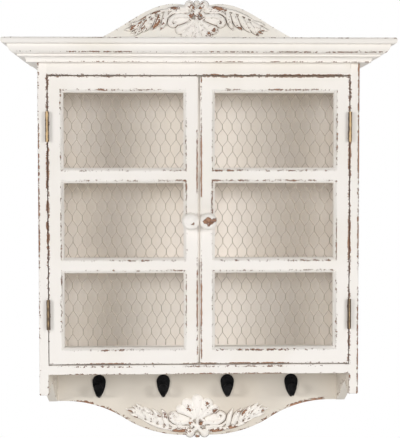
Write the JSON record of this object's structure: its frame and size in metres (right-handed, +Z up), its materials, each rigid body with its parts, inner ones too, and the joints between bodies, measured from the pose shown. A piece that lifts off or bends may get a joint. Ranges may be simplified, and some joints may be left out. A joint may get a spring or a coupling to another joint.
{
  "type": "wall cabinet",
  "caption": "Painted wall cabinet with wire-netting doors, shelves inside, a moulded cornice, a carved crest and a shaped apron with hooks below.",
  "frame": {"origin": "on the wall plane, midway between the round entries of the two keyhole hangers", "axes": "+X to the viewer's right, +Y into the wall, +Z up"},
  "size_m": [0.621, 0.2005, 0.7635],
  "materials": {
    "painted_wood": "cream paint rubbed through to brown wood on the edges",
    "inside_paint": "thin cream paint, duller inside the cabinet",
    "carving": "cream paint rubbed back to brown on the high places",
    "netting_wire": "dull galvanised wire",
    "old_brass": "antique brass",
    "black_iron": "black, slightly rough casting",
    "steel": "zinc plated",
    "catch_plastic": "moulded plastic"
  },
  "bodies": {
    "carcass": {"apron_board": "painted_wood", "apron_ornament": "carving", "back_panel": "inside_paint", "bottom_board": "painted_wood", "cornice_front": "painted_wood", "cornice_left_return": "painted_wood", "cornice_right_return": "painted_wood", "crest_board": "painted_wood", "crest_ornament": "carving", "frieze_rail": "painted_wood", "hook_1": "black_iron", "hook_2": "black_iron", "hook_3": "black_iron", "hook_4": "black_iron", "hook_screws": "black_iron", "inner_top": "inside_paint", "keyhole_plate_screws": "steel", "left_keyhole_plate": "steel", "left_lower_hinge_pin": "old_brass", "left_lower_side_leaf": "old_brass", "left_side": "painted_wood", "left_upper_hinge_pin": "old_brass", "left_upper_side_leaf": "old_brass", "lower_shelf": "inside_paint", "magnetic_catch": "catch_plastic", "right_keyhole_plate": "steel", "right_lower_hinge_pin": "old_brass", "right_lower_side_leaf": "old_brass", "right_side": "painted_wood", "right_upper_hinge_pin": "old_brass", "right_upper_side_leaf": "old_brass", "top_board": "painted_wood", "upper_shelf": "inside_paint"},
    "left_door": {"left_bottom_rail": "painted_wood", "left_hinge_stile": "painted_wood", "left_knob": "painted_wood", "left_knob_screw": "steel", "left_lower_door_leaf": "old_brass", "left_lower_middle_rail": "painted_wood", "left_meeting_stile": "painted_wood", "left_net_strips": "painted_wood", "left_strike_plate": "steel", "left_top_rail": "painted_wood", "left_upper_door_leaf": "old_brass", "left_upper_middle_rail": "painted_wood", "left_wire_net": "netting_wire"},
    "right_door": {"right_bottom_rail": "painted_wood", "right_hinge_stile": "painted_wood", "right_knob": "painted_wood", "right_knob_screw": "steel", "right_lower_door_leaf": "old_brass", "right_lower_middle_rail": "painted_wood", "right_meeting_stile": "painted_wood", "right_net_strips": "painted_wood", "right_strike_plate": "steel", "right_top_rail": "painted_wood", "right_upper_door_leaf": "old_brass", "right_upper_middle_rail": "painted_wood", "right_wire_net": "netting_wire"}
  },
  "joints": [
    {"name": "left_door_hinge", "type": "hinge", "parent": "carcass", "child": "left_door", "pos_m": [-0.24425, -0.1532, -0.20865], "axis": [0, 0, -1], "range_deg": [0, 180]},
    {"name": "right_door_hinge", "type": "hinge", "parent": "carcass", "child": "right_door", "pos_m": [0.24425, -0.1532, -0.20865], "axis": [0, 0, 1], "range_deg": [0, 180]}
  ]
}
